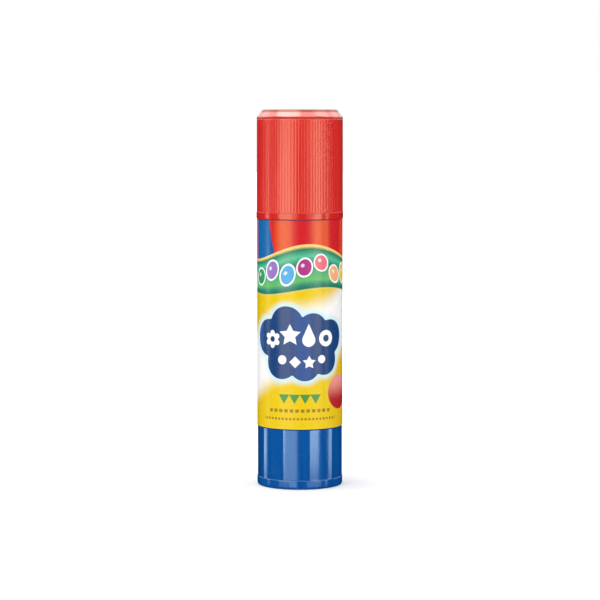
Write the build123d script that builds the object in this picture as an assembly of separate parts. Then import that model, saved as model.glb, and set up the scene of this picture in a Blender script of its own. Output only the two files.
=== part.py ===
from build123d import *
import os
from math import degrees, sqrt

# Twist-up glue stick with its cap on, in millimetres. The origin is the centre of the base, +Z points up,
# and the front of the label faces -Y. Gaps and walls are measured on one side, and turns are in degrees.

# Barrel: a tube with a plain wall under the label and a thinner neck under the cap
bore_diameter = 16.0
barrel_wall = 1.88
barrel_length = 48.4
neck_wall = 0.95
neck_length = 15.4
barrel_edge_bevel = 0.05
mouth_bevel = 0.25

# Bead round the neck that grips the cap
grip_bead_height = 0.1
grip_bead_width = 1.2
grip_bead_drop = 5.0

# Guide ribs along the bore, which keep the carrier from turning
guide_rib_count = 4
guide_rib_turn = 45
guide_rib_height = 0.4
guide_rib_width = 0.8
guide_rib_setback = 0.8
guide_rib_lead_in = 1.0

# Label: a film wrapped once round the barrel, with its lap glued down at the back
label_thickness = 0.1
label_margin = 0.03
label_lap = 4.0
label_lap_turn = 96

# Knob: crowned finger flats above a round foot rim, a spigot that snaps into the barrel, and a hollow inside
flat_count = 10
flat_turn = -4.4
flat_crown = 0.2
flat_overhang = 0.04
flat_edge_round = 0.25
flat_top_bevel = 0.12
knob_height = 13.9
rim_height = 2.1
rim_overhang = 0.1
rim_edge_bevel = 0.1
rim_foot_round = 0.55
foot_width = 1.9
foot_recess = 0.7
gate_diameter = 3.0
gate_depth = 0.3
knob_floor = 1.3
spigot_height = 5.5
spigot_wall = 0.85
spigot_tip_bevel = 0.4
snap_height = 0.2
snap_width = 1.2
snap_rise = 3.4
boss_diameter = 7.2
boss_height = 8.0
web_count = 4
web_thickness = 0.8
web_height = 5.0

# Spindle: a left-hand trapezoidal screw on a flange and a square shank
thread_lead = 5.0
thread_run_in = 2.0
core_diameter = 3.6
crest_diameter = 5.4
thread_root_width = 2.4
thread_crest_width = 1.4
spindle_reserve = 1.0
spindle_tip_bevel = 0.8
flange_diameter = 6.4
flange_thickness = 1.0
shank_width = 4.0
shank_length = 7.0
shank_tip_bevel = 0.5

# Carrier: a cup with a threaded nut at its centre
carrier_floor = 1.2
carrier_height = 12.0
cup_wall = 0.9
cup_edge_bevel = 0.25
nut_height = 6.0
nut_wall = 1.3
carrier_stop = 0.8

# Glue: cast into the carrier and the bore
glue_drop = 0.4
glue_edge_bevel = 0.5
glue_crown = 0.25

# Cap: ribbed wall between a smooth collar and a smooth band, a bevel round the roof, and a ledge inside
cap_wall = 0.65
cap_roof = 1.4
cap_headroom = 8.47
ledge_width = 0.4
ceiling_bevel = 0.5
collar_height = 1.5
collar_overhang = 0.07
collar_edge_bevel = 0.12
cap_mouth_bevel = 0.25
cap_rib_count = 80
cap_rib_height = 0.31
cap_draft = 0.06
band_height = 0.5
bevel_rise = 1.8
bevel_inset = 1.4
bevel_low_round = 1.0
bevel_top_round = 0.35
dish_diameter = 12.0
dish_depth = 0.25

# Clearances of the fits
spigot_gap = 0.05
knob_gap = 0.1
snap_gap = 0.1
grip_gap = 0.05
cap_gap = 0.05
seal_gap = 0.03
slide_gap = 0.1
guide_gap = 0.1
thread_gap = 0.15
park_gap = 0.6
tip_gap = 0.5
label_glue = 0.02
press_gap = 0.02
cast_gap = 0.02
overrun = 0.3

# Radii and levels that follow from them
bore_radius = bore_diameter / 2
barrel_radius = bore_radius + barrel_wall
neck_radius = bore_radius + neck_wall
spigot_radius = bore_radius - spigot_gap
rim_radius = barrel_radius + rim_overhang
cavity_radius = spigot_radius - spigot_wall
slide_radius = bore_radius - slide_gap
guide_radius = bore_radius - guide_rib_height
core_radius = core_diameter / 2
crest_radius = crest_diameter / 2
nut_radius = crest_radius + thread_gap + nut_wall
cap_bore_radius = neck_radius + grip_bead_height + grip_gap
rib_root_radius = cap_bore_radius + cap_wall
rib_crest_radius = rib_root_radius + cap_rib_height

barrel_bottom = knob_height + knob_gap
shoulder = barrel_bottom + barrel_length
mouth = shoulder + neck_length
knob_floor_top = foot_recess + knob_floor
boss_top = knob_floor_top + boss_height
spigot_top = knob_height + spigot_height
carrier_bottom = spigot_top + park_gap
carrier_top = carrier_bottom + carrier_height
nut_top = carrier_bottom + nut_height
carrier_lift = mouth - carrier_stop - carrier_top
spindle_top = nut_top + carrier_lift + spindle_reserve
thread_start = carrier_bottom - thread_lead
cap_bottom = shoulder + cap_gap
collar_top = cap_bottom + collar_height
ledge = mouth + seal_gap
ceiling = ledge + cap_headroom
cap_top = ceiling + cap_roof
bevel_start = cap_top - bevel_rise
band_start = bevel_start - band_height


def turned(points, rounds=(), bevels=(), arc=360):
    """Turn a closed outline of (radius, level) points about the axis, some corners rounded or bevelled."""
    outline = make_face(Polyline(*points, close=True))
    for corner, radius in rounds:
        outline = fillet(outline.vertices().sort_by_distance((*corner, 0))[0], radius)
    for corner, length in bevels:
        outline = chamfer(outline.vertices().sort_by_distance((*corner, 0))[0], length)
    return revolve(Plane.XZ * outline, Axis.Z, revolution_arc=arc)


def tube(outer, inner, low, high):
    """Plain tube between two levels."""
    return turned([(inner, low), (outer, low), (outer, high), (inner, high)])


def rod(radius, low, high):
    """Plain round bar between two levels."""
    return Pos(0, 0, low) * Cylinder(radius, high - low, align=(Align.CENTER, Align.CENTER, Align.MIN))


def bead(radius, level, width, height):
    """Ring with sloping sides that stands out of a cylinder by its height and reaches as far into it."""
    low, high, slope = level - width / 2, level + width / 2, width / 3
    outer, inner = radius + height, radius - height
    back = [(radius, low), (outer, low + slope), (outer, high - slope), (radius, high)]
    return turned([(inner, low), *back, (inner, high)])


def around(piece, count, turn=0):
    """Copies of a piece, set evenly round the axis."""
    return [Rot(Z=turn + 360 * step / count) * piece for step in range(count)]


def upright_bar(inner, outer, width, low, high):
    """Straight bar that stands along the wall, from one radius to another."""
    size = Box(outer - inner, width, high - low, align=(Align.MIN, Align.CENTER, Align.MIN))
    return Pos(inner, 0, low) * size


def screw(low, high, growth=0):
    """Left-hand threaded bar. With growth it is larger on every side, to cut the thread of a nut."""
    flank = (thread_root_width - thread_crest_width) / (crest_diameter - core_diameter)
    spread = growth * sqrt(1 + flank**2)
    inner = core_radius + growth - overrun
    outer = crest_radius + growth
    half_inner = thread_root_width / 2 + flank * (core_radius - inner) + spread
    half_outer = thread_root_width / 2 - flank * (outer - core_radius) + spread
    corners = [(inner, -half_inner), (outer, -half_outer), (outer, half_outer), (inner, half_inner)]
    tooth = Plane.XZ * make_face(Polyline(*corners, close=True))
    path = Helix(thread_lead, high - low + thread_lead, core_radius, lefthand=True)
    ridge = Pos(0, 0, low) * sweep(tooth, path=path, is_frenet=True)
    return rod(core_radius + growth, low - thread_lead, high + 2 * thread_lead) + ridge


def make_barrel():
    """Container tube, with its neck, bead, guide ribs and the groove that the knob snaps into."""
    bottom_edge, shoulder_edge = (barrel_radius, barrel_bottom), (barrel_radius, shoulder)
    neck_root, neck_edge = (neck_radius, shoulder), (neck_radius, mouth)
    mouth_edge, bore_foot = (bore_radius, mouth), (bore_radius, barrel_bottom)
    tube_wall = turned(
        [bore_foot, bottom_edge, shoulder_edge, neck_root, neck_edge, mouth_edge],
        bevels=[
            (bottom_edge, barrel_edge_bevel),
            (shoulder_edge, barrel_edge_bevel),
            (neck_edge, mouth_bevel),
            (mouth_edge, mouth_bevel),
        ],
    )
    grip = bead(neck_radius, mouth - grip_bead_drop, grip_bead_width, grip_bead_height)
    groove = bead(bore_radius, knob_height + snap_rise, snap_width + 2 * snap_gap, snap_height)
    rib_low, rib_high = carrier_bottom, mouth - guide_rib_setback
    rib_side = Polyline(
        (bore_radius + overrun, rib_low),
        (guide_radius, rib_low),
        (guide_radius, rib_high - guide_rib_lead_in),
        (bore_radius + overrun, rib_high),
        close=True,
    )
    rib = extrude(Plane.XZ * make_face(rib_side), guide_rib_width / 2, both=True)
    return tube_wall + grip + around(rib, guide_rib_count, guide_rib_turn) - groove


def make_label():
    """Wrapped film, one thickness thicker where its end laps over its start."""
    inner = barrel_radius + label_glue
    outer = inner + label_thickness
    low = barrel_bottom + barrel_edge_bevel + label_margin
    high = shoulder - barrel_edge_bevel - label_margin
    wrap = tube(outer, inner, low, high)
    over_lap = outer + label_thickness
    lap_section = [(inner, low), (over_lap, low), (over_lap, high), (inner, high)]
    lap = turned(lap_section, arc=degrees(label_lap / outer))
    return wrap + Rot(Z=label_lap_turn) * lap


def crowned_flats():
    """Outline of the finger flats: a shallow arc from each corner to the next, bulging by the crown."""
    first = Vector(barrel_radius + flat_overhang, 0).rotate(Axis.Z, flat_turn)
    corners = [first.rotate(Axis.Z, 360 * step / flat_count) for step in range(flat_count)]
    sides = []
    for start, end in zip(corners, corners[1:] + corners[:1]):
        middle = (start + end) / 2
        sides.append(ThreePointArc(start, middle + middle.normalized() * flat_crown, end))
    return make_face(sides)


def make_knob():
    """Turning base: flats and rim outside, spigot and snap bead above, boss and webs in the hollow."""
    flats = crowned_flats()
    flats = fillet(flats.vertices(), flat_edge_round)
    grip = Pos(0, 0, rim_height - overrun) * extrude(flats, knob_height - rim_height + overrun)
    grip = chamfer(grip.edges().group_by(Axis.Z)[-1], flat_top_bevel)
    foot, rim_edge = (rim_radius, 0), (rim_radius, rim_height)
    rim = turned(
        [(0, 0), foot, rim_edge, (0, rim_height)],
        rounds=[(foot, rim_foot_round)],
        bevels=[(rim_edge, rim_edge_bevel)],
    )
    tip = (spigot_radius, spigot_top)
    spigot = turned(
        [(0, knob_floor_top), (spigot_radius, knob_floor_top), tip, (0, spigot_top)],
        bevels=[(tip, spigot_tip_bevel)],
    )
    snap = bead(spigot_radius, knob_height + snap_rise, snap_width, snap_height)
    hollow = rod(cavity_radius, knob_floor_top, spigot_top + overrun)
    boss = rod(boss_diameter / 2, knob_floor_top - overrun, boss_top)
    web = upright_bar(
        boss_diameter / 2 - overrun,
        cavity_radius + overrun,
        web_thickness,
        knob_floor_top - overrun,
        knob_floor_top + web_height,
    )
    socket_width = shank_width + 2 * press_gap
    socket_depth = shank_length + tip_gap
    socket = Pos(0, 0, boss_top) * Box(
        socket_width, socket_width, socket_depth, align=(Align.CENTER, Align.CENTER, Align.MAX)
    )
    underside = rod(rim_radius - foot_width, -overrun, foot_recess)
    gate = rod(gate_diameter / 2, -overrun, foot_recess + gate_depth)
    shell = grip + rim + spigot + snap - hollow
    return shell + boss + around(web, web_count) - socket - underside - gate


def make_spindle():
    """Drive screw with its flange, and the square shank that the knob turns it by."""
    thread_bottom = carrier_bottom - thread_run_in
    tip = (crest_radius + overrun, spindle_top)
    envelope = turned(
        [(0, thread_bottom), (crest_radius + overrun, thread_bottom), tip, (0, spindle_top)],
        bevels=[(tip, spindle_tip_bevel + overrun)],
    )
    thread = screw(thread_start, spindle_top) & envelope
    plain = rod(core_radius, boss_top, thread_bottom + overrun)
    flange = rod(flange_diameter / 2, boss_top, boss_top + flange_thickness)
    shank = Box(shank_width, shank_width, shank_length, align=(Align.CENTER, Align.CENTER, Align.MAX))
    shank = chamfer(shank.edges().group_by(Axis.Z)[0], shank_tip_bevel)
    return thread + plain + flange + Pos(0, 0, boss_top) * shank


def guide_slots(low, high):
    """Room for the barrel's guide ribs, to be cut out of what slides in the bore."""
    slot = upright_bar(
        guide_radius - guide_gap, bore_radius + overrun, guide_rib_width + 2 * guide_gap, low, high
    )
    return around(slot, guide_rib_count, guide_rib_turn)


def make_carrier():
    """Cup that the glue sits in, with its nut cut to the spindle's thread."""
    inner = slide_radius - cup_wall
    cup_floor = carrier_bottom + carrier_floor
    foot = (slide_radius, carrier_bottom)
    cup = turned(
        [
            (0, carrier_bottom),
            foot,
            (slide_radius, carrier_top),
            (inner, carrier_top),
            (inner, cup_floor),
            (nut_radius, cup_floor),
            (nut_radius, nut_top),
            (0, nut_top),
        ],
        bevels=[(foot, cup_edge_bevel)],
    )
    tap = screw(thread_start, nut_top, thread_gap)
    return cup - tap - guide_slots(carrier_bottom - overrun, carrier_top + overrun)


def make_glue():
    """Stick cast round the nut and up the bore, with a blind hole for the spindle."""
    low = carrier_bottom + carrier_floor + cast_gap
    top = mouth - glue_drop
    cup_inner = slide_radius - cup_wall - cast_gap
    hole = crest_radius + thread_gap
    nut_side, nut_level = nut_radius + cast_gap, nut_top + cast_gap
    hole_end = spindle_top + tip_gap
    cup_level = carrier_top + cast_gap
    edge = (slide_radius, top - glue_crown)
    stick = turned(
        [
            (nut_side, low),
            (cup_inner, low),
            (cup_inner, cup_level),
            (slide_radius, cup_level),
            edge,
            (0, top),
            (0, hole_end),
            (hole, hole_end),
            (hole, nut_level),
            (nut_side, nut_level),
        ],
        bevels=[(edge, glue_edge_bevel)],
    )
    return stick - guide_slots(cup_level - overrun, top + overrun)


def rib_star(crest, root, level):
    """Outline of the ribbed wall at one level: a crest and a root for each rib, in turn."""
    half_step = 180 / cap_rib_count
    corners = []
    for step in range(cap_rib_count):
        corners.append(Vector(crest, 0).rotate(Axis.Z, 2 * step * half_step))
        corners.append(Vector(root, 0).rotate(Axis.Z, (2 * step + 1) * half_step))
    return Pos(0, 0, level) * make_face(Polyline(*corners, close=True))


def make_cap():
    """Pull-off cap: collar, drafted ribs, band and bevel outside, bore and sealing ledge inside."""
    collar_radius = rib_crest_radius + collar_overhang
    band_radius = rib_crest_radius - cap_draft
    ledge_radius = neck_radius - ledge_width
    collar_foot, collar_edge = (collar_radius, cap_bottom), (collar_radius, collar_top)
    bevel_low, bevel_high = (band_radius, bevel_start), (band_radius - bevel_inset, cap_top)
    ceiling_edge, bore_mouth = (ledge_radius, ceiling), (cap_bore_radius, cap_bottom)
    shell = turned(
        [
            bore_mouth,
            collar_foot,
            collar_edge,
            (rib_root_radius, collar_top),
            (rib_root_radius - cap_draft, band_start),
            (band_radius, band_start),
            bevel_low,
            bevel_high,
            (dish_diameter / 2, cap_top),
            (dish_diameter / 2 - dish_depth, cap_top - dish_depth),
            (0, cap_top - dish_depth),
            (0, ceiling),
            ceiling_edge,
            (ledge_radius, ledge),
            (cap_bore_radius, ledge),
        ],
        rounds=[(bevel_low, bevel_low_round), (bevel_high, bevel_top_round)],
        bevels=[
            (collar_foot, collar_edge_bevel),
            (ceiling_edge, ceiling_bevel),
            (bore_mouth, cap_mouth_bevel),
        ],
    )
    low_star = rib_star(rib_crest_radius, rib_root_radius, collar_top)
    high_star = rib_star(band_radius, rib_root_radius - cap_draft, band_start)
    ribs = loft([low_star, high_star], ruled=True)
    core = rod(rib_root_radius - cap_wall / 2, collar_top - overrun, band_start + overrun)
    return shell + (ribs - core)


pieces = {
    "barrel": make_barrel(),
    "label": make_label(),
    "knob": make_knob(),
    "spindle": make_spindle(),
    "carrier": make_carrier(),
    "glue": make_glue(),
    "cap": make_cap(),
}

os.makedirs("parts", exist_ok=True)
for name, piece in pieces.items():
    export_step(piece, f"parts/{name}.step")
print("carrier lift", round(carrier_lift, 3), "turns", round(carrier_lift / thread_lead, 3))
print("overall height", round(cap_top, 3))
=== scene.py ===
from math import cos, pi, radians, sin

import bpy
import numpy as np
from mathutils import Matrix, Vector


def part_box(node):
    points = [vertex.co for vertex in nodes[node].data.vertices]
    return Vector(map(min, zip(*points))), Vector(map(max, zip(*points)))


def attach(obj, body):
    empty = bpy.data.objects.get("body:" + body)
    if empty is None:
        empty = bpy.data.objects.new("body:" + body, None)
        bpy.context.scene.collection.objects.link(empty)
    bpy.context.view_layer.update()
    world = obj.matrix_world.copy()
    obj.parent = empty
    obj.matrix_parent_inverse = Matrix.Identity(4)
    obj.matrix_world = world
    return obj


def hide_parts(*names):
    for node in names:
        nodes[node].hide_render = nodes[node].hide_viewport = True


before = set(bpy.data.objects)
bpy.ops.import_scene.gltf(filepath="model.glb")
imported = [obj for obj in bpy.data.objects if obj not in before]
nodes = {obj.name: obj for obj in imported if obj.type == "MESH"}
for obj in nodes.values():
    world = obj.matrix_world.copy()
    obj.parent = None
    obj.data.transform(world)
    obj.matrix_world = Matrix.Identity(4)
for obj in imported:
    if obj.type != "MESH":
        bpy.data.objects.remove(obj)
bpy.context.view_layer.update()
mm = 0.001

# Barrel: the container tube, with its neck and grip bead, as it comes from the mould.
# Blue polypropylene, satin: faint flow streaks up the wall, a fine grain and a few pale scuffs.
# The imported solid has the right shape, so it keeps its mesh and takes this finish.


class Field:
    """A number that varies over a surface, kept as a node's output. Arithmetic on it adds Math nodes."""

    def __init__(self, socket):
        self.socket = socket
        self.tree = socket.id_data

    def __add__(self, other):
        return maths("ADD", self, other)

    def __radd__(self, other):
        return maths("ADD", other, self)

    def __sub__(self, other):
        return maths("SUBTRACT", self, other)

    def __rsub__(self, other):
        return maths("SUBTRACT", other, self)

    def __mul__(self, other):
        return maths("MULTIPLY", self, other)

    def __rmul__(self, other):
        return maths("MULTIPLY", other, self)

    def __truediv__(self, other):
        return maths("DIVIDE", self, other)


def maths(operation, *values, clamp=False):
    """Math node on fields and plain numbers, given back as a field."""
    tree = next(value.tree for value in values if isinstance(value, Field))
    node = tree.nodes.new("ShaderNodeMath")
    node.operation = operation
    node.use_clamp = clamp
    for socket, value in zip(node.inputs, values):
        if isinstance(value, Field):
            tree.links.new(value.socket, socket)
        else:
            socket.default_value = value
    return Field(node.outputs[0])


def rise(value, low, high):
    """0 below low, 1 above high, and a smooth step between them. Given high first, it falls instead."""
    node = value.tree.nodes.new("ShaderNodeMapRange")
    node.interpolation_type = "SMOOTHSTEP"
    value.tree.links.new(value.socket, node.inputs["Value"])
    node.inputs["From Min"].default_value = low
    node.inputs["From Max"].default_value = high
    return Field(node.outputs["Result"])


def ink(red, green, blue):
    """Colour of the photographed stick, 0 to 255 a channel as a screen shows it, in linear light."""
    shown = np.array([red, green, blue]) / 255
    linear = np.where(shown <= 0.04045, shown / 12.92, ((shown + 0.055) / 1.055) ** 2.4)
    return (*linear, 1)


def over(under, upper, share):
    """Two colours mixed: the upper one wherever share is 1. Each is a socket or a plain colour."""
    tree = share.tree
    node = tree.nodes.new("ShaderNodeMix")
    node.data_type = "RGBA"
    sockets = {socket.identifier: socket for socket in node.inputs}
    tree.links.new(share.socket, sockets["Factor_Float"])
    for name, colour in (("A_Color", under), ("B_Color", upper)):
        if isinstance(colour, tuple):
            sockets[name].default_value = colour
        else:
            tree.links.new(colour, sockets[name])
    return next(socket for socket in node.outputs if socket.identifier == "Result_Color")


def places(tree):
    """Sideways, front to back and upward position of a point of the object, in metres, as three fields."""
    where = tree.nodes.new("ShaderNodeTexCoord")
    parts = tree.nodes.new("ShaderNodeSeparateXYZ")
    tree.links.new(where.outputs["Object"], parts.inputs[0])
    return tuple(Field(socket) for socket in parts.outputs)


def speckle(tree, size, stretch=1, detail=2):
    """Noise field about 0.5 whose patches are size across, and stretch times as tall as they are wide."""
    where = tree.nodes.new("ShaderNodeTexCoord")
    fitted = tree.nodes.new("ShaderNodeMapping")
    fitted.inputs["Scale"].default_value = (1 / size, 1 / size, 1 / (size * stretch))
    noise = tree.nodes.new("ShaderNodeTexNoise")
    noise.inputs["Scale"].default_value = 1
    noise.inputs["Detail"].default_value = detail
    noise.inputs["Roughness"].default_value = 0.5
    tree.links.new(where.outputs["Object"], fitted.inputs["Vector"])
    tree.links.new(fitted.outputs["Vector"], noise.inputs["Vector"])
    return Field(noise.outputs["Fac"])


def grain_height(tree):
    """Spark-eroded mould skin: two sizes of fine noise, one on the other."""
    return speckle(tree, 0.35 * mm) * 0.6 + speckle(tree, 0.12 * mm) * 0.4


def flow_streaks(tree):
    """Long soft streaks up the wall, where the melt ran along the mould."""
    return speckle(tree, 1.6 * mm, stretch=14, detail=3)


def handling_scuffs(tree):
    """Thin pale scratches: the contour lines of a stretched noise, kept only in a few patches."""
    bend = maths("ABSOLUTE", speckle(tree, 2.2 * mm, stretch=0.35, detail=4) - 0.5)
    return rise(bend, 0.004, 0.001) * rise(speckle(tree, 5 * mm), 0.6, 0.7)


def build_moulded_skin():
    """Node group for the skin of moulded plastic. Its colour goes from deep to light with the streaks, and
    to the scuffed shade in the scuffs. Its roughness is the one given, raised or lowered by the grain and
    the streaks and raised by the scuffs."""
    group = bpy.data.node_groups.new("moulded_skin", "ShaderNodeTree")
    for label in ("Deep", "Light", "Scuffed"):
        group.interface.new_socket(label, in_out="INPUT", socket_type="NodeSocketColor")
    group.interface.new_socket("Roughness", in_out="INPUT", socket_type="NodeSocketFloat")
    group.interface.new_socket("Colour", in_out="OUTPUT", socket_type="NodeSocketColor")
    for label in ("Roughness", "Grain"):
        group.interface.new_socket(label, in_out="OUTPUT", socket_type="NodeSocketFloat")
    given = group.nodes.new("NodeGroupInput").outputs
    made = group.nodes.new("NodeGroupOutput").inputs
    grain, streaks, scuffs = grain_height(group), flow_streaks(group), handling_scuffs(group)
    shade = over(given["Deep"], given["Light"], rise(streaks, 0.32, 0.68))
    group.links.new(over(shade, given["Scuffed"], scuffs * 0.5), made["Colour"])
    rough = Field(given["Roughness"]) + (grain - 0.5) * 0.1 + (streaks - 0.5) * 0.08 + scuffs * 0.25
    group.links.new(rough.socket, made["Roughness"])
    group.links.new(grain.socket, made["Grain"])
    return group


moulded_skin = build_moulded_skin()


def finish(name, roughness, **plain):
    """New material with its Principled shader, whose uniform values are set on the shader's own sockets."""
    material = bpy.data.materials.new(name)
    material.use_nodes = True
    shader = material.node_tree.nodes["Principled BSDF"]
    shader.inputs["Roughness"].default_value = roughness
    for socket, value in plain.items():
        shader.inputs[socket.replace("_", " ")].default_value = value
    return material, material.node_tree, shader


def relief(tree, shader, height, depth):
    """Gives the shader a bump of that real depth, from a height field."""
    bump = tree.nodes.new("ShaderNodeBump")
    bump.inputs["Distance"].default_value = depth
    bump.inputs["Strength"].default_value = 1
    tree.links.new(height.socket, bump.inputs["Height"])
    tree.links.new(bump.outputs["Normal"], shader.inputs["Normal"])


def moulded_plastic(name, deep, light, scuffed, roughness, grain_depth=0.002 * mm, **plain):
    """Moulded plastic: its skin in those shades and that roughness, and the grain as a relief that deep."""
    material, tree, shader = finish(name, roughness, **plain)
    skin = tree.nodes.new("ShaderNodeGroup")
    skin.node_tree = moulded_skin
    given = {"Deep": deep, "Light": light, "Scuffed": scuffed, "Roughness": roughness}
    for label, value in given.items():
        skin.inputs[label].default_value = value
    shade = skin.outputs["Colour"]
    tree.links.new(shade, shader.inputs["Base Color"])
    tree.links.new(skin.outputs["Roughness"], shader.inputs["Roughness"])
    relief(tree, shader, Field(skin.outputs["Grain"]), grain_depth)
    return material, tree, shader, shade


def wear(piece, material):
    """Puts the one material on a piece."""
    piece.data.materials.clear()
    piece.data.materials.append(material)


blue_deep = ink(16, 70, 150)
blue_light = ink(24, 82, 164)
blue_scuff = ink(96, 140, 205)
barrel_blue, *_ = moulded_plastic("barrel_blue", blue_deep, blue_light, blue_scuff, 0.3)
wear(nodes["barrel"], barrel_blue)

# Label: a printed film, wrapped once round the barrel and glued down where its end laps over its start.
# Polypropylene film with a gloss varnish over the inks, bright and smooth, with a fine ripple in it.
# The mesh is one closed sleeve, and the print is drawn in millimetres along and up the film.

film_thickness = 0.1 * mm
film_low, film_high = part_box("label")[0].z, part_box("label")[1].z
film_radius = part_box("label")[1].x
film_inner = film_radius - film_thickness
lap_start = radians(186)
lap_width = radians(22.9)
lap_end = lap_start + lap_width
lap_ramp = radians(2.2)
cut_step = radians(0.02)
film_edge_round = 0.02 * mm
film_columns = 720
film_rows = 40


def closed_mesh(name, points, poles):
    """Mesh over a grid of points: rows along a profile, columns round the axis, the last beside the first.
    The rows join up in a ring too, or with poles they end in one point each, where row 0 and the last lie.
    Outer walls run upward and inner walls downward, so that every face looks out of the material."""
    rows, columns = points.shape[:2]
    spots = points.reshape(-1, 3)
    if poles:
        spots = np.vstack([points[1:-1].reshape(-1, 3), points[0, :1], points[-1, :1]])
        rows -= 2
    row, column = np.meshgrid(np.arange(rows - 1 if poles else rows), np.arange(columns), indexing="ij")
    beside, above = (column + 1) % columns, (row + 1) % rows
    here, over_it = row * columns, above * columns
    quads = np.stack([here + column, here + beside, over_it + beside, over_it + column], axis=-1)
    faces = quads.reshape(-1, 4).tolist()
    if poles:
        this, following = np.arange(columns), (np.arange(columns) + 1) % columns
        last_row = (rows - 1) * columns
        first_pole, last_pole = np.full(columns, rows * columns), np.full(columns, rows * columns + 1)
        faces += np.stack([first_pole, following, this], axis=-1).tolist()
        faces += np.stack([last_pole, last_row + this, last_row + following], axis=-1).tolist()
    mesh = bpy.data.meshes.new(name)
    mesh.from_pydata(spots, [], faces)
    mesh.shade_smooth()
    piece = bpy.data.objects.new(name, mesh)
    bpy.context.scene.collection.objects.link(piece)
    return piece


def around(radius, level, turn):
    """Points at those radii and levels, a row for each level and a column for each turn from the front."""
    radius = radius * np.ones((len(level), len(turn)))
    height = level[:, None] * np.ones_like(radius)
    return np.stack([radius * np.sin(turn), -radius * np.cos(turn), height], axis=-1)


def film_outside(turn):
    """Radius of the film's outer face: one thickness more over the lap, which climbs in a smooth ramp
    where the start lies under it, and ends at the cut edge in a step."""
    past = (turn - lap_start) % (2 * pi)
    climb = np.clip(past / lap_ramp, 0, 1)
    lapped = np.where(past < lap_width, climb * climb * (3 - 2 * climb), 0)
    return film_radius + film_thickness * lapped


step_turns = lap_end + cut_step * np.arange(-2, 3)
film_turns = np.sort(np.concatenate([np.linspace(0, 2 * pi, film_columns, endpoint=False), step_turns]))
rim_arc = np.linspace(-pi / 2, 0, 4)
film_levels = np.concatenate(
    [
        film_low + film_edge_round * (1 + np.sin(rim_arc)),
        np.linspace(film_low + 2 * film_edge_round, film_high - 2 * film_edge_round, film_rows),
        film_high - film_edge_round * (1 + np.sin(rim_arc[::-1])),
    ]
)
edge_inset = np.zeros(len(film_levels))
edge_inset[: len(rim_arc)] = film_edge_round * (1 - np.cos(rim_arc))
edge_inset[-len(rim_arc):] = film_edge_round * (1 - np.cos(rim_arc[::-1]))
outside = around(film_outside(film_turns)[None, :] - edge_inset[:, None], film_levels, film_turns)
inside_levels = np.array([film_high, film_low])
inside = around(film_inner, inside_levels, film_turns)
label = closed_mesh("label_film", np.concatenate([outside, inside]), poles=False)


def map_film(piece):
    """Two UV maps of the sleeve. The print runs round from the cut edge and up, each from 0 to 1. The other
    is for baking: the same, but drawn in to leave a strip at the top, where the inner wall lies."""
    mesh = piece.data
    corner_vertex = np.empty(len(mesh.loops), int)
    mesh.loops.foreach_get("vertex_index", corner_vertex)
    places_flat = np.empty(3 * len(mesh.vertices))
    mesh.vertices.foreach_get("co", places_flat)
    spots = places_flat.reshape(-1, 3)[corner_vertex].reshape(-1, 4, 3)
    turn = np.arctan2(spots[..., 0], -spots[..., 1])
    middle = spots.mean(axis=1)
    face_turn = np.arctan2(middle[:, 0], -middle[:, 1])[:, None]
    from_cut = (face_turn - lap_end) % (2 * pi) + (turn - face_turn + pi) % (2 * pi) - pi
    along = np.clip(from_cut / (2 * pi), 0, 1)
    up = (spots[..., 2] - film_low) / (film_high - film_low)
    inner_wall = (np.hypot(spots[..., 0], spots[..., 1]) < film_inner + film_thickness / 4).any(axis=1)
    strip = 0.06
    in_strip = 1 - strip * (0.1 + 0.8 * up)
    below_strip = up * (1 - 1.5 * strip)
    packed_up = np.where(inner_wall[:, None], in_strip, below_strip)
    for name, height in (("print", up), ("OFBake", packed_up)):
        layer = mesh.uv_layers.new(name=name)
        layer.uv.foreach_set("vector", np.stack([along, height], axis=-1).astype(np.float32).ravel())


map_film(label)


def film_places(tree):
    """Millimetres to the right of the front of the label, and millimetres above the desk."""
    where = tree.nodes.new("ShaderNodeUVMap")
    where.uv_map = "print"
    parts = tree.nodes.new("ShaderNodeSeparateXYZ")
    tree.links.new(where.outputs["UV"], parts.inputs[0])
    round_the_film = 2 * pi * film_radius / mm
    front = round_the_film * (1 - lap_end / (2 * pi))
    across = Field(parts.outputs[0]) * round_the_film - front
    up = Field(parts.outputs[1]) * ((film_high - film_low) / mm) + film_low / mm
    return across, up


def inked(distance, soft=0.06):
    """1 inside a printed shape, where its distance is below 0, and 0 outside, with an edge that soft."""
    return rise(distance, soft / 2, -soft / 2)


def length(x, y):
    """Distance from the origin, for two fields."""
    return maths("SQRT", x * x + y * y)


def disc(x, y, radius):
    """Distance to a disc about the origin."""
    return length(x, y) - radius


def both(one, other):
    """Overlap of two printed shapes."""
    return maths("MAXIMUM", one, other)


def either(one, other, melt=0.0):
    """Two printed shapes as one, their joint rounded by the melt."""
    if melt:
        return maths("SMOOTH_MIN", one, other, melt)
    return maths("MINIMUM", one, other)


def row_of(x, pitch):
    """A row of cells along x: the number of the cell, and the place in it from its middle."""
    number = maths("FLOOR", x / pitch)
    return number, x - (number + 0.5) * pitch


def star(x, y, tip, notch):
    """Five-pointed star: the straight line from a tip to a notch, in polar form, mirrored and repeated."""
    fold = maths("PINGPONG", maths("ARCTAN2", x, y), pi / 5)
    line = notch * maths("SINE", pi / 5 - fold) + tip * maths("SINE", fold)
    return length(x, y) - maths("DIVIDE", tip * notch * sin(pi / 5), line)


def ring(x, y, outer, inner):
    """Disc with a round hole."""
    return both(disc(x, y, outer), inner - length(x, y))


def diamond(x, y, reach):
    """Square on its corner: the sum of the two distances from its axes, less the reach."""
    return (maths("ABSOLUTE", x) + maths("ABSOLUTE", y) - reach) * 0.5**0.5


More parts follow.
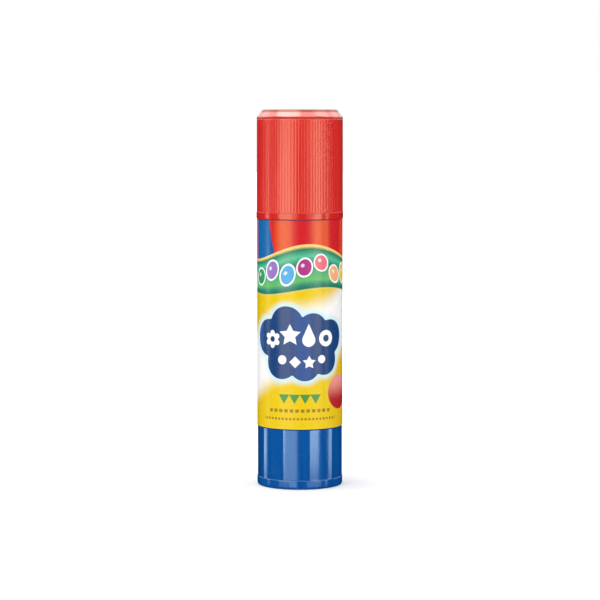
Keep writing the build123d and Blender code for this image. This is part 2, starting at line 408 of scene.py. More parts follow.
def flower(x, y, radius):
    """Flower: a circle whose radius swells and shrinks once for each petal."""
    petals = 6
    between_petals = 0.66
    swell = maths("ABSOLUTE", maths("COSINE", maths("ARCTAN2", x, y) * (petals / 2)))
    return length(x, y) - radius * (between_petals + swell * (1 - between_petals))


def drop(x, y, radius, height):
    """Drop with its point up: a disc, and the wedge whose sides touch the disc and meet at the point."""
    lean = radius / height
    side = maths("ABSOLUTE", x) * (1 - lean * lean) ** 0.5 + y * lean - radius
    return either(disc(x, y, radius), both(side, radius * lean - y))


white, navy = ink(250, 250, 250), ink(20, 66, 122)


def colour_scale(tree, place, stops, stepped=False):
    """Colour ramp read at that place, from pairs of a position and a colour. Stepped, it doesn't blend."""
    ramp = tree.nodes.new("ShaderNodeValToRGB")
    if stepped:
        ramp.color_ramp.interpolation = "CONSTANT"
    elements = ramp.color_ramp.elements
    while len(elements) < len(stops):
        elements.new(1.0)
    for element, (position, colour) in zip(elements, stops):
        element.position = position
        element.color = colour
    tree.links.new(place.socket, ramp.inputs[0])
    return ramp.outputs[0]


def ground_inks(across, up, wave):
    """Yellow, with a painted shade that deepens it away from the front, and a white glow slanting through
    it.
    Above the wave lies a red field with soft orange bands, a print pattern placed so that two of them are
    painted highlights at the front, and a blue panel whose edge slants down to the right."""
    yellow, shaded_yellow = ink(234, 200, 12), ink(226, 186, 10)
    red, orange = ink(210, 28, 38), ink(228, 84, 36)
    panel_blue, deep_blue = ink(8, 104, 172), ink(12, 84, 156)
    glow_foot, glow_slope = 34.5, 0.42
    glow_core, glow_reach = 5.0, 10.5
    shade_from, shade_to = 6, 15
    film_top, panel_slope = 62.2, 0.23
    panel_left, panel_right_at_top = -13.0, -7.7

    glow_line = up - glow_foot - across * glow_slope + maths("SINE", across * 0.24) * 1.2
    glow = rise(maths("ABSOLUTE", glow_line), glow_reach, glow_core)
    # Painted shade: the yellow deepens from 6 to 15 mm to either side of the front, towards the label's
    # sides.
    shade = over(yellow, shaded_yellow, rise(maths("ABSOLUTE", across + 1), shade_from, shade_to))
    shade = over(shade, white, glow * 0.97)
    # Painted highlights: the soft orange bands in the red are a print pattern that repeats round the film,
    # and the two either side of the front lie where the side lamps' highlights fall.
    bands = maths("COSINE", across * 0.7 + 2.8)
    shade = over(shade, over(red, orange, rise(bands, -0.7, 1.0)), inked(wave - up))
    slant = across - panel_right_at_top - (film_top - up) * panel_slope - maths("SINE", up * 0.3) * 0.35
    panel = both(both(slant, wave - up), panel_left - across)
    return over(shade, over(panel_blue, deep_blue, rise(slant, -1.6, 0)), inked(panel))


def wave_band(tree, shade, across, up, wave):
    """Green band along the wave, with lighter streaks in it and a pale gold line along each edge."""
    thickness = 4.6 + maths("COSINE", across * 0.2) * 0.7
    level = (up - wave) / thickness
    stops = [
        (0.0, ink(246, 232, 150)),
        (0.035, ink(22, 116, 84)),
        (0.12, ink(46, 138, 120)),
        (0.22, ink(98, 190, 104)),
        (0.42, ink(74, 166, 122)),
        (0.60, ink(30, 134, 112)),
        (0.74, ink(88, 194, 152)),
        (0.90, ink(24, 128, 96)),
        (0.965, ink(250, 214, 130)),
    ]
    green = colour_scale(tree, level * 0.5 + 0.5, stops)
    return over(shade, green, inked(maths("ABSOLUTE", level) - 1, 0.02))


def bead_row(tree, shade, across, up, wave):
    """Beads in eight colours along the wave, each a little higher or lower and more or less tall than the
    next, with a white outline and a soft spot of light."""
    pitch, radius, outline = 4.05, 1.62, 0.36
    spot_left, spot_up, spot_radius, spot_blur = 0.45, 0.5, 0.42, 0.3
    tints = [
        ink(176, 54, 134), ink(232, 112, 128), ink(246, 176, 120), ink(240, 208, 70),
        ink(150, 200, 62), ink(46, 160, 98), ink(150, 120, 196), ink(66, 168, 222),
    ]
    number, x = row_of(across + 0.9, pitch)
    y = up - wave - maths("SINE", number * 2.1) * 1.15
    squeeze = 0.86 + maths("SINE", number * 1.3) * 0.1
    bead = disc(x, y * squeeze, radius)
    stops = [(place / len(tints), colour) for place, colour in enumerate(tints)]
    tint = colour_scale(tree, maths("FRACT", (number + 0.5) / len(tints)), stops, stepped=True)
    shade = over(shade, white, inked(bead - outline))
    shade = over(shade, tint, inked(bead))
    spot = disc(x + spot_left, y - spot_up, spot_radius)
    return over(shade, white, inked(spot, spot_blur) * 0.75)


def cloud_badge(shade, across, up):
    """Dark blue cloud of eight puffs, lighter in soft bands as a painted highlight, with a pale halo, and
    two rows of white motifs cut out of it.
    """
    halo_blue, highlight_blue = ink(206, 238, 250), ink(64, 92, 152)
    halo, melt = 0.9, 0.7
    flower_right, flower_level, eye_radius = -6.8, 34.9, 0.65
    puffs = [
        (-7.6, 35.2, 4.3), (-3.2, 38.6, 4.0), (3.1, 37.4, 3.6), (7.6, 35.4, 4.0),
        (0, 33.6, 5.2), (-4.4, 29.6, 3.9), (1.2, 29.0, 3.7), (6.0, 30.2, 3.6),
    ]
    cloud = None
    for right, level, radius in puffs:
        puff = disc(across - right, up - level, radius)
        cloud = puff if cloud is None else either(cloud, puff, melt)
    motifs = [
        (flower, flower_right, flower_level, (2.1,), 0),
        (star, -2.3, 35.9, (2.5, 1.15), 0.15),
        (drop, 2.1, 34.8, (1.55, 3.8), 0),
        (ring, 6.5, 35.1, (1.9, 0.8), 0),
        (disc, -4.2, 30.2, (1.05,), 0),
        (diamond, -1.1, 29.7, (1.35,), 0),
        (star, 2.2, 29.6, (1.5, 0.75), 0.1),
        (disc, 5.3, 30.3, (0.95,), 0),
    ]
    cutouts = None
    for motif, right, level, sizes, swollen in motifs:
        shape = motif(across - right, up - level, *sizes) - swollen
        cutouts = shape if cutouts is None else either(cutouts, shape)
    flower_eye = disc(across - flower_right, up - flower_level, eye_radius)
    # Painted highlight: the cloud's blue lightens in soft bands, over the front and at its left end.
    body = over(navy, highlight_blue, rise(maths("SINE", across * 0.5 + 1.2), 0.2, 1.0))
    shade = over(shade, halo_blue, inked(cloud - halo, 2 * halo) * 0.9)
    shade = over(shade, body, inked(cloud))
    shade = over(shade, white, inked(cutouts))
    return over(shade, navy, inked(flower_eye))


def prints_at_foot(shade, across, up):
    """Below the badge: a row of green pennants, a row of dashes, a row of dots, and a ball at the right."""
    pennant_green, brown = ink(74, 150, 74), ink(142, 104, 40)
    ball_foot, ball_head = ink(182, 30, 40), ink(240, 150, 140)
    pennant_pitch, pennant_low, pennant_high, pennant_slope = 2.5, 20.0, 22.2, 1.7
    dash_pitch, dash_level, dash_half_width, dash_half_height = 1.3, 18.4, 0.42, 0.38
    dot_pitch, dot_level, dot_radius = 0.9, 16.5, 0.3
    pennant_row_half, dash_row_half, dot_row_half = 5.0, 7.8, 9.4
    ball_right, ball_level, ball_radius = 11.2, 22.4, 4.1

    off_middle = maths("ABSOLUTE", across)
    _, x = row_of(across, pennant_pitch)
    pennants = both(maths("ABSOLUTE", x) * pennant_slope - (up - pennant_low), up - pennant_high)
    pennants = both(pennants, off_middle - pennant_row_half)
    shade = over(shade, pennant_green, inked(pennants))
    _, x = row_of(across, dash_pitch)
    off_level = maths("ABSOLUTE", up - dash_level)
    dashes = both(maths("ABSOLUTE", x) - dash_half_width, off_level - dash_half_height)
    dashes = both(dashes, off_middle - dash_row_half)
    _, x = row_of(across, dot_pitch)
    dots = both(disc(x, up - dot_level, dot_radius), off_middle - dot_row_half)
    shade = over(shade, brown, inked(either(dashes, dots)) * 0.85)
    ball = disc(across - ball_right, up - ball_level, ball_radius)
    return over(shade, over(ball_foot, ball_head, rise(up, 20.2, 25.4)), inked(ball))


def label_print(tree):
    """The inks of the label in millimetres, laid over one another from the ground up, and last the plain
    cream panel at the back."""
    cream = ink(246, 240, 222)
    panel_middle, panel_half_width, panel_half_height, panel_swell = (26.0, 30), 8.0, 13, 0.8
    wave_level, wave_height = 50.4, 1.3
    across, up = film_places(tree)
    wave = wave_level + maths("SINE", across * 0.2 + 0.9) * wave_height
    shade = ground_inks(across, up, wave)
    shade = wave_band(tree, shade, across, up, wave)
    shade = bead_row(tree, shade, across, up, wave)
    shade = cloud_badge(shade, across, up)
    shade = prints_at_foot(shade, across, up)
    side = maths("ABSOLUTE", across - panel_middle[0]) - panel_half_width
    ends = maths("ABSOLUTE", up - panel_middle[1]) - panel_half_height
    return over(shade, cream, inked(both(side, ends) - panel_swell))


varnish_roughness = 0.27
ripple_depth = 0.009 * mm
film_print, tree, shader = finish(
    "film_print", varnish_roughness, Specular_IOR_Level=0.34, Specular_Tint=(1, 0.88, 0.7, 1)
)
tree.links.new(label_print(tree), shader.inputs["Base Color"])
ripple = speckle(tree, 4.5 * mm, stretch=3, detail=1)
rub = speckle(tree, 1.6 * mm)
tree.links.new((varnish_roughness + (rub - 0.5) * 0.04).socket, shader.inputs["Roughness"])
relief(tree, shader, ripple, ripple_depth)
wear(label, film_print)
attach(label, "container")
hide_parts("label")

# Knob: the turning base, one moulding. Ten slightly crowned finger flats stand over a round foot rim,
# and its spigot, snap bead and spindle socket are inside the barrel.
# Blue polypropylene with a smoother polish than the barrel, so that each flat mirrors the room.

flat_count = 10
flat_phase = radians(13.6)
rim_high = 2.1 * mm
flat_overhang = 0.04 * mm
vertex_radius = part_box("barrel")[1].x + flat_overhang
rim_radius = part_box("knob")[1].x
spigot_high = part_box("knob")[1].z
spigot_height = 5.5 * mm
knob_high = spigot_high - spigot_height
knob_core_radius = 8.6 * mm
spigot_radius = 7.95 * mm
spigot_bevel = 0.4 * mm
cavity_radius = 7.1 * mm
boss_radius = 3.6 * mm
boss_top = 10.0 * mm
knob_floor = 2.0 * mm
socket_half = 2.02 * mm
socket_end = 2.5 * mm
socket_corner = 2.95 * mm
socket_lead = 0.08 * mm
foot_width = 1.9 * mm
foot_inner = rim_radius - foot_width
foot_recess = 0.7 * mm
gate_radius = 1.5 * mm
gate_depth = 0.3 * mm
snap_level = knob_high + 3.4 * mm
snap_height = 0.2 * mm
snap_crest = 0.2 * mm
snap_foot = 0.6 * mm
flat_crown = 0.2 * mm
rim_ledge = 0.3 * mm
columns_per_flat = 36
corner_crowding = 0.35


def softened(corners, rounds, step=radians(12), hug=0.04 * mm):
    """Profile of (radius, level) points through the corners, each turned by an arc of its own radius
    that touches both of its runs. Close beside an arc a run gets one more point, so that shading stays in
    the corner."""
    corners = np.asarray(corners, float)
    made = []
    for place, (corner, radius) in enumerate(zip(corners, rounds)):
        if not radius:
            made.append(corner)
            continue
        back = corners[place - 1] - corner
        ahead = corners[(place + 1) % len(corners)] - corner
        back, ahead = back / np.hypot(*back), ahead / np.hypot(*ahead)
        half = np.arccos(np.clip(back @ ahead, -1, 1)) / 2
        reach = radius / np.tan(half)
        centre = corner + (back + ahead) / np.hypot(*(back + ahead)) * radius / np.sin(half)
        start, end = corner + back * reach, corner + ahead * reach
        begin = np.arctan2(*(start - centre)[::-1])
        swing = (np.arctan2(*(end - centre)[::-1]) - begin + pi) % (2 * pi) - pi
        angles = begin + np.linspace(0, 1, max(3, int(abs(swing) / step) + 1)) * swing
        made.append(start + back * hug)
        made += [centre + radius * np.array([np.cos(angle), np.sin(angle)]) for angle in angles]
        made.append(end + ahead * hug)
    return np.array(made)


def flats(turn):
    """Radius of the ten crowned flats: each is an arc through its two corners that stands out by the crown
    in the middle, and the soft minimum of all ten rounds the corners between them."""
    half_side = vertex_radius * np.sin(pi / flat_count)
    bow = (half_side**2 + flat_crown**2) / (2 * flat_crown)
    offset = bow - flat_crown - vertex_radius * np.cos(pi / flat_count)
    facing = flat_phase + pi / flat_count + 2 * pi * np.arange(flat_count)[:, None] / flat_count
    lean = turn[None, :] - facing
    reach = -offset * np.cos(lean) + np.sqrt(bow**2 - (offset * np.sin(lean)) ** 2)
    softness = 420
    return reach.min(0) * np.sum((reach / reach.min(0)) ** -softness, axis=0) ** (-1 / softness)


spread = np.linspace(-1, 1, columns_per_flat, endpoint=False)
within_flat = pi / flat_count * (1 + spread * (1 + corner_crowding - corner_crowding * spread**2))
knob_turns = (flat_phase + np.add.outer(2 * pi * np.arange(flat_count) / flat_count, within_flat)).ravel()
flats_radius = flats(knob_turns)
square_radius = socket_half / np.maximum(np.abs(np.cos(knob_turns)), np.abs(np.sin(knob_turns)))
foot = softened(
    [
        (0, foot_recess + gate_depth),
        (gate_radius, foot_recess + gate_depth),
        (gate_radius, foot_recess),
        (foot_inner, foot_recess),
        (foot_inner, 0),
        (rim_radius, 0),
        (rim_radius, rim_high),
        (rim_radius - rim_ledge, rim_high),
    ],
    np.array([0, 0.08, 0.08, 0.25, 0.2, 0.55, 0.2, 0]) * mm,
)
flat_rows = 8
end_margin = 0.6 * mm
root_flare = 0.05 * mm
root_rows = np.array([0, 0.06, 0.2]) * mm
edge_radius = 0.14 * mm
edge_turns = np.linspace(0, pi / 2, 4)
flat_levels = np.concatenate(
    [
        rim_high + root_rows,
        np.linspace(rim_high + end_margin, knob_high - end_margin, flat_rows),
        knob_high - edge_radius * (1 - np.sin(edge_turns)),
    ]
)
flat_insets = np.zeros(len(flat_levels))
flat_insets[0] = -root_flare
flat_insets[-len(edge_turns):] = edge_radius * (1 - np.cos(edge_turns))
inside_profile = softened(
    [
        (knob_core_radius, knob_high),
        (spigot_radius, knob_high),
        (spigot_radius, snap_level - snap_foot),
        (spigot_radius + snap_height, snap_level - snap_crest),
        (spigot_radius + snap_height, snap_level + snap_crest),
        (spigot_radius, snap_level + snap_foot),
        (spigot_radius, spigot_high - spigot_bevel),
        (spigot_radius - spigot_bevel, spigot_high),
        (cavity_radius, spigot_high),
        (cavity_radius, knob_floor),
        (boss_radius, knob_floor),
        (boss_radius, boss_top),
        (socket_corner, boss_top),
    ],
    np.array([0, 0.1, 0.1, 0.08, 0.08, 0.1, 0.1, 0.08, 0.08, 0.3, 0.3, 0.1, 0]) * mm,
)
socket_levels = np.array([boss_top, boss_top - socket_lead, socket_end])
socket_flare = np.array([1.04, 1, 1])
knob_rows = [
    foot[:, :1] * np.ones_like(knob_turns),
    np.minimum(flats_radius[None, :] - flat_insets[:, None], rim_radius),
    inside_profile[:, :1] * np.ones_like(knob_turns),
    square_radius[None, :] * socket_flare[:, None],
    np.zeros((1, len(knob_turns))),
]
knob_levels = np.concatenate([foot[:, 1], flat_levels, inside_profile[:, 1], socket_levels, [socket_end]])
knob = closed_mesh("knob_shell", around(np.concatenate(knob_rows), knob_levels, knob_turns), poles=True)
knob_deep, knob_light = ink(4, 78, 152), ink(8, 88, 164)
polished_grain = 0.001 * mm
knob_blue, *_ = moulded_plastic(
    "knob_blue", knob_deep, knob_light, blue_scuff, 0.12, polished_grain,
    Specular_IOR_Level=1.0, Specular_Tint=(0.62, 0.86, 1, 1)
)
wear(knob, knob_blue)
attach(knob, "base")
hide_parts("knob")

# Spindle: the drive screw, pressed into the knob by its square shank and hidden in the glue.
# Natural polypropylene, uncoloured, milky and satin, moulded in one with its shank.
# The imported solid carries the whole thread, so it keeps its mesh.

milk_shades = ink(214, 212, 200), ink(234, 233, 224), ink(245, 244, 240)
milk_depth = 1.5 * mm
natural_white, *_ = moulded_plastic(
    "natural_white", *milk_shades, 0.38, Subsurface_Weight=0.15, Subsurface_Scale=milk_depth
)
wear(nodes["spindle"], natural_white)

# Carrier: the cup that the glue sits in, with the nut that climbs the spindle.
# The same natural polypropylene as the spindle, rubbed a little paler where its skirt slides in the bore.
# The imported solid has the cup, the slots and the cut thread, so it keeps its mesh.

carrier_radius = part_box("carrier")[1].x
rubbed_depth = 0.1 * mm
sliding_white, tree, shader, shade = moulded_plastic(
    "sliding_white", *milk_shades, 0.34, Subsurface_Weight=0.15, Subsurface_Scale=milk_depth
)
x, y, _ = places(tree)
on_skirt = rise(length(x, y), carrier_radius - rubbed_depth, carrier_radius)
rubbed = on_skirt * rise(speckle(tree, 1.2 * mm, stretch=6), 0.4, 0.6)
tree.links.new(over(shade, ink(240, 240, 236), rubbed * 0.6), shader.inputs["Base Color"])
wear(nodes["carrier"], sliding_white)

# Glue: a soap-gelled stick, cast warm into the carrier and the bore, with a groove for each guide rib.
# Waxy, off-white and slightly translucent, smooth on its side and faintly rippled on its cast top.
# The mesh has the grooves, the softened rim and the low crown that a cast stick has.

glue_low, glue_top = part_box("glue")[0].z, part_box("glue")[1].z
glue_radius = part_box("glue")[1].x
cast_gap = 0.02 * mm
cup_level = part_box("carrier")[1].z + cast_gap
cup_inner = 6.98 * mm
nut_radius = 4.17 * mm
nut_height = 6.0 * mm
nut_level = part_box("carrier")[0].z + nut_height + cast_gap
hole_radius = 2.85 * mm
hole_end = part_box("spindle")[1].z + 0.5 * mm
groove_count = 4
groove_half = 0.5 * mm
groove_floor = 7.5 * mm
groove_edge = 0.12 * mm
crown_height = 0.25 * mm
shoulder_inset, shoulder_drop = 2.2 * mm, 0.12 * mm
crest_inset, crest_drop = 5.5 * mm, 0.02 * mm
glue_columns = 480


def grooved(radius, turn):
    """Radius round the stick, cut down to the groove's flat floor within half a groove of each rib."""
    quarter = 2 * pi / groove_count
    off_rib = (turn % quarter) - quarter / 2
    floor = groove_floor / np.cos(off_rib)
    edge = np.clip((np.abs(radius * np.sin(off_rib)) - groove_half) / groove_edge, 0, 1)
    cut = np.minimum(radius, floor)
    return cut + (radius - cut) * edge * edge * (3 - 2 * edge)


stick = softened(
    [
        (nut_radius, glue_low),
        (cup_inner, glue_low),
        (cup_inner, cup_level),
        (glue_radius, cup_level),
        (glue_radius, glue_top - crown_height),
        (glue_radius - shoulder_inset, glue_top - shoulder_drop),
        (glue_radius - crest_inset, glue_top - crest_drop),
        (0, glue_top),
    ],
    np.array([0.1, 0.2, 0, 0.15, 0.85, 1.5, 3.0, 0]) * mm,
)
stick = np.vstack([stick[:-1], [[0, stick[-2][1]]]])
turns = np.linspace(0, 2 * pi, glue_columns, endpoint=False)
in_barrel = (stick[:, 1] > cup_level - cast_gap / 2) & (stick[:, 0] > cup_inner)
stick_rows = np.where(in_barrel[:, None], grooved(stick[:, :1], turns), stick[:, :1])
hole = softened(
    [
        (0, hole_end),
        (hole_radius, hole_end),
        (hole_radius, nut_level),
        (nut_radius, nut_level),
        (nut_radius, glue_low),
    ],
    np.array([0, 0.2, 0.1, 0.1, 0]) * mm,
)[:-1]
glue_rows = np.vstack([hole[:, :1] * np.ones(glue_columns), stick_rows])
glue_levels = np.concatenate([hole[:, 1], stick[:, 1]])
glue = closed_mesh("glue_stick", around(glue_rows, glue_levels, turns), poles=True)
wax_roughness = 0.42
wax_relief = 0.015 * mm
waxy_white, tree, shader = finish(
    "waxy_white", wax_roughness, Subsurface_Weight=0.3, Subsurface_Scale=1.2 * mm, Specular_IOR_Level=0.4
)
shader.inputs["Subsurface Radius"].default_value = (1.0, 0.85, 0.6)
x, y, z = places(tree)
mottle = speckle(tree, 5 * mm, stretch=2.5)
drag = speckle(tree, 0.5 * mm, stretch=30)
on_top = rise(z, glue_top - 0.5 * mm, glue_top - 0.3 * mm)
shade = over(ink(228, 225, 212), ink(234, 231, 220), rise(mottle, 0.3, 0.7))
tree.links.new(over(shade, ink(218, 213, 196), rise(drag, 0.6, 0.8) * 0.3), shader.inputs["Base Color"])
ring_pitch = 1.1 * mm
rings = maths("SINE", length(x, y) * (2 * pi / ring_pitch) + mottle * 9)
tree.links.new((wax_roughness + (mottle - 0.5) * 0.2 - on_top * 0.08).socket, shader.inputs["Roughness"])
relief(tree, shader, drag * (1 - on_top) + (rings * 0.3 + mottle) * on_top, wax_relief)
wear(glue, waxy_white)
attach(glue, "piston")
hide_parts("glue")

# Cap: one moulding that seats on the neck. A smooth collar, eighty fine rounded ribs with a slight draft,
# a smooth band, then a polished bevel round the roof and its shallow dish. Red polypropylene, satin, with
# painted shade: a deeper red on the collar, darker in the grooves, and dark lines along both edges of the
# bevel that are painted shade and painted dark reflection.

cap_low, cap_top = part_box("cap")[0].z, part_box("cap")[1].z
collar_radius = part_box("cap")[1].x
rib_count = 80
groove_depth = 0.035 * mm
groove_sharpness = 3
groove_run_out = 0.35 * mm
collar_overhang = 0.07 * mm
collar_height = 1.5 * mm
step_height = 0.08 * mm
step_inset = 0.01 * mm
rib_crest = collar_radius - collar_overhang
rib_start = cap_low + collar_height
groove_start = rib_start + 0.06 * mm
draft = 0.06 * mm
bevel_height = 1.8 * mm
bevel_inset = 1.4 * mm
band_height = 0.5 * mm
bevel_low = cap_top - bevel_height
rib_stop = bevel_low - band_height
dish_radius = 6.0 * mm
dish_depth = 0.25 * mm
bore_radius = 9.1 * mm
ledge_radius = 8.55 * mm
seat_gap = 0.03 * mm
ledge_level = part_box("barrel")[1].z + seat_gap
headroom = 8.47 * mm
ceiling = ledge_level + headroom
band_radius = rib_crest - draft
wall = softened(
    [
        (bore_radius, cap_low),
        (collar_radius, cap_low),
        (collar_radius, rib_start),
        (rib_crest - step_inset, rib_start + step_height),
        (band_radius, rib_stop),
        (band_radius, bevel_low),
        (band_radius - bevel_inset, cap_top),
        (dish_radius, cap_top),
        (dish_radius - dish_depth, cap_top - dish_depth),
        (0, cap_top - dish_depth),
    ],
    np.array([0.2, 0.12, 0.1, 0.05, 0, 0.9, 0.42, 0.1, 0.15, 0]) * mm,
)
lining = softened(
    [
        (0, ceiling),
        (ledge_radius, ceiling),
        (ledge_radius, ledge_level),
        (bore_radius, ledge_level),
        (bore_radius, cap_low),
    ],
    np.array([0, 0.5, 0.1, 0.1, 0]) * mm,
)


def rib_share(level):
    """How far the ribs stand out at each level: nothing on the collar and the band, and full between
    them, with an end rounded over the run-out."""
    low = np.clip((level - groove_start) / groove_run_out, 0, 1)
    high = np.clip((rib_stop - level) / groove_run_out, 0, 1)
    share = np.minimum(low, high)
    return np.sqrt(1 - (1 - share) ** 2)


half_rib_shares = np.array([0, 0.36, 0.6, 0.78, 0.91])
rib_shares = np.concatenate([half_rib_shares, [1], 2 - half_rib_shares[:0:-1]])
rib_turns = ((np.arange(rib_count)[:, None] + rib_shares / 2) * 2 * pi / rib_count).ravel()
valley = np.tile(np.minimum(rib_shares, 2 - rib_shares) ** groove_sharpness, rib_count)
first_rib_row = rib_start + 0.22 * mm
before = wall[wall[:, 1] < first_rib_row]
after = wall[len(before):]
run_ends = groove_run_out * (1 - np.cos(np.linspace(0, pi / 2, 6)))
foot_run_share = 0.8
even_rows = np.linspace(rib_start + 1.4 * mm, rib_stop - 1.0 * mm, 8)
rib_levels = np.concatenate(
    [first_rib_row + run_ends * foot_run_share, even_rows, rib_stop - run_ends[::-1]]
)
rib_radii = rib_crest - draft * (rib_levels - rib_start) / (rib_stop - rib_start)
profile = np.vstack([lining[:-1], before, np.stack([rib_radii, rib_levels], axis=1), after])
cut = groove_depth * valley[None, :] * rib_share(profile[:, 1])[:, None]
cut[: len(lining) - 1] = 0
cap = closed_mesh("cap_shell", around(profile[:, :1] - cut, profile[:, 1], rib_turns), poles=True)
cap_deep, cap_light, cap_scuff = ink(214, 38, 38), ink(222, 48, 42), ink(234, 84, 74)
cap_red, tree, shader, shade = moulded_plastic(
    "cap_red", cap_deep, cap_light, cap_scuff, 0.22, polished_grain,
    Specular_Tint=(1, 0.74, 0.48, 1), Specular_IOR_Level=0.7, Coat_Roughness=0.14, Coat_IOR=1.8
)
x, y, z = places(tree)
out = length(x, y)
crest_here = rib_crest - (z - rib_start) * (draft / (rib_stop - rib_start))
# Painted shade: the groove, collar and bevel-edge reds are darker than the cap's own red.
groove_shade_red, collar_shade_red, edge_shade_red = ink(160, 18, 20), ink(202, 22, 26), ink(128, 16, 18)
# Painted shade: the colour darkens towards the bottom of each groove, where shade falls between the ribs.
in_groove = rise(crest_here - out, 0.012 * mm, 0.034 * mm) * rise(bevel_low - z, 0, 0.2 * mm)
# Painted shade and painted dark reflection: at_foot and at_top mark dark red lines at the foot of the bevel
# and round the roof's edge.
foot_line = bevel_low - 0.08 * mm
at_foot = rise(maths("ABSOLUTE", z - foot_line), 0.32 * mm, 0.12 * mm)
at_foot = at_foot * rise(out, ledge_radius, band_radius - 0.4 * mm)
roof_edge = dish_radius + 2.2 * mm
at_top = rise(z, cap_top - 0.78 * mm, cap_top - 0.5 * mm)
at_top = at_top * rise(out, roof_edge - 0.15 * mm, roof_edge + 0.15 * mm)
shade = over(shade, groove_shade_red, in_groove * 0.5)
# Painted shade: the smooth collar below the ribs is painted a deeper red.
shade = over(shade, collar_shade_red, rise(rib_start - z, -0.1 * mm, 0.1 * mm) * 0.7)
shade = over(shade, edge_shade_red, maths("MAXIMUM", at_foot * 0.7, at_top * 0.9))
tree.links.new(shade, shader.inputs["Base Color"])
polished = rise(z, bevel_low - 0.3 * mm, bevel_low - 0.1 * mm)
polished = polished * (1 - maths("MAXIMUM", at_foot, at_top) * 0.9)
polished = polished * rise(out, roof_edge - 0.3 * mm, roof_edge + 0.1 * mm)
tree.links.new((polished * 0.9 + 0.05).socket, shader.inputs["Coat Weight"])
wear(cap, cap_red)
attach(cap, "closure")
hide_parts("cap")

# Studio: a pale floor that goes on into a white background, strips and washes beside the camera for the
# upright highlights, lamps above and behind for the bevel, an even light from all round, and a black screen
# that only reflections show, which keeps the sides of the stick dark against the white.

floor_reach = 3.0
floor_mesh = bpy.data.meshes.new("floor")
floor_mesh.from_pydata(
    [(x * floor_reach, y * floor_reach, 0) for x, y in ((-1, -1), (1, -1), (1, 1), (-1, 1))],
    [],
    [(0, 1, 2, 3)],
)
floor = bpy.data.objects.new("floor", floor_mesh)
bpy.context.scene.collection.objects.link(floor)
floor.visible_glossy = False
paper = bpy.data.materials.new("white_paper")
paper.use_nodes = True
tree = paper.node_tree
tree.nodes.clear()
ends = tree.nodes.new("ShaderNodeOutputMaterial")
matt = tree.nodes.new("ShaderNodeBsdfDiffuse")
paper_white = (0.8, 0.8, 0.8, 1)
matt.inputs["Color"].default_value = paper_white
glow = tree.nodes.new("ShaderNodeEmission")
rays = tree.nodes.new("ShaderNodeLightPath")
together = tree.nodes.new("ShaderNodeAddShader")
x, y, _ = places(tree)
lift_at_foot = 0.2
lift = lift_at_foot + rise(length(x, y), 0.05, 0.3) * (1 - lift_at_foot)
tree.links.new((lift * Field(rays.outputs["Is Camera Ray"])).socket, glow.inputs["Strength"])
tree.links.new(matt.outputs[0], together.inputs[0])
tree.links.new(glow.outputs[0], together.inputs[1])
tree.links.new(together.outputs[0], ends.inputs["Surface"])
floor.data.materials.append(paper)

screen_turns = np.radians(np.linspace(-180, 180, 73))
screen_low, screen_high, screen_radius = -2.0, 0.16, 0.6
screen_spots = around(screen_radius, np.array([screen_low, screen_high]), screen_turns).reshape(-1, 3)
panel = np.arange(len(screen_turns) - 1)
above_it = panel + len(screen_turns)
screen_faces = np.stack([panel, panel + 1, above_it + 1, above_it], axis=-1)
screen_mesh = bpy.data.meshes.new("black_screen")
screen_mesh.from_pydata(screen_spots, [], screen_faces.tolist())
screen = bpy.data.objects.new("black_screen", screen_mesh)
bpy.context.scene.collection.objects.link(screen)
screen.visible_camera = False
screen.visible_diffuse = False
screen.visible_transmission = False
screen.visible_shadow = False
black, *_ = finish("black_cloth", 1.0, Base_Color=(0, 0, 0, 1), Specular_IOR_Level=0)
screen.data.materials.append(black)

world = bpy.data.worlds.new("white_room")
bpy.context.scene.world = world
world.use_nodes = True
tree = world.node_tree
sky = tree.nodes["Background"]
rays = tree.nodes.new("ShaderNodeLightPath")
seen = maths("ADD", Field(rays.outputs["Is Camera Ray"]), Field(rays.outputs["Is Glossy Ray"]), clamp=True)
seen = maths("ADD", seen, Field(rays.outputs["Is Transmission Ray"]), clamp=True)
room_light = 0.42
tree.links.new((seen * (1 - room_light) + room_light).socket, sky.inputs["Strength"])
sky.inputs["Color"].default_value = (1, 1, 1, 1)


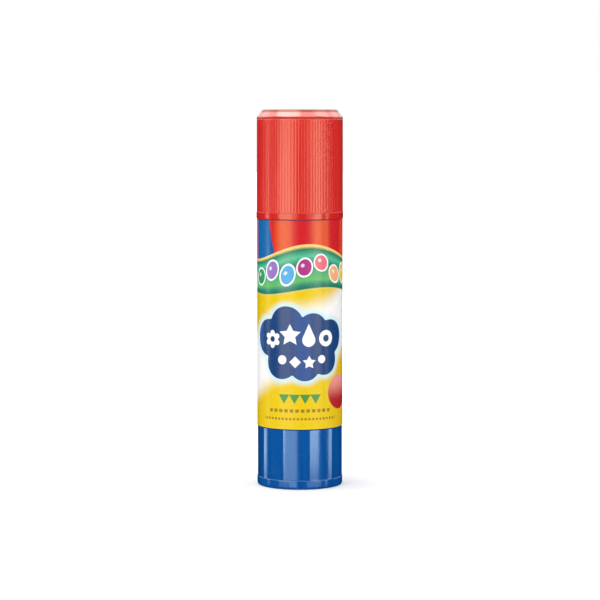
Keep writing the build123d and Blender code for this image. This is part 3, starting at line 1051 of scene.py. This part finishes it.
def soft_box(name, turn, elevation, width, height, glow, aim, distance=0.4):
    """Rectangular lamp on a sphere about the level aimed at, turned to face it. Turn 0 is on the camera's
    side, and a positive turn is to its right. Glow is how bright its face is, where 1 is white."""
    lamp = bpy.data.lights.new(name, "AREA")
    lamp.shape = "RECTANGLE"
    lamp.size = width
    lamp.size_y = height
    lamp.energy = glow * pi * width * height
    holder = bpy.data.objects.new(name, lamp)
    turn, elevation = radians(turn), radians(elevation)
    away = Vector((sin(turn) * cos(elevation), -cos(turn) * cos(elevation), sin(elevation)))
    holder.location = Vector((0, 0, aim)) + away * distance
    holder.rotation_euler = away.to_track_quat("Z", "Y").to_euler()
    bpy.context.scene.collection.objects.link(holder)


cap_roof = 88 * mm
soft_box("left_strip", -40, 0, 0.24, 0.16, 4.6, 22 * mm)
soft_box("right_strip", 48, 0, 0.16, 0.16, 5.0, 22 * mm)
soft_box("left_wash", -17, 0, 0.14, 0.2, 2.4, 20 * mm, 0.45)
soft_box("right_wash", 28, 0, 0.14, 0.2, 1.6, 20 * mm, 0.45)
soft_box("left_edge", -94, 0, 0.05, 0.16, 5.0, 20 * mm)
soft_box("right_edge", 76, 0, 0.05, 0.16, 4.0, 20 * mm)
soft_box("top_box", 0, 90, 0.44, 0.44, 1.5, cap_roof, 0.32)
soft_box("left_top", -71, 70, 0.2, 0.16, 3.2, cap_roof, 0.3)
soft_box("right_top", 100, 55, 0.1, 0.14, 1.6, cap_roof, 0.3)
soft_box("left_rim", -126, 42, 0.26, 0.26, 1.2, cap_roof)
soft_box("right_rim", 126, 42, 0.26, 0.26, 1.0, cap_roof)

# Camera: straight in front of the label, level with the top of the cap and tipped down.
# Its place and focal length are those that put the stick's edges where the photo has them.

camera_distance = 0.52
camera_height = 0.0858
camera_side = 0.00004
camera_tip = radians(4.675)
focal_pixels = 2229
image_width = 600
eye = bpy.data.cameras.new("eye")
eye.sensor_width = 36
eye.lens = focal_pixels / image_width * eye.sensor_width
eye.clip_start = 0.01
camera = bpy.data.objects.new("eye", eye)
camera.location = (camera_side, -camera_distance, camera_height)
camera.rotation_euler = (pi / 2 - camera_tip, 0, 0)
bpy.context.scene.collection.objects.link(camera)
bpy.context.scene.camera = camera
bpy.context.scene.view_settings.view_transform = "Standard"
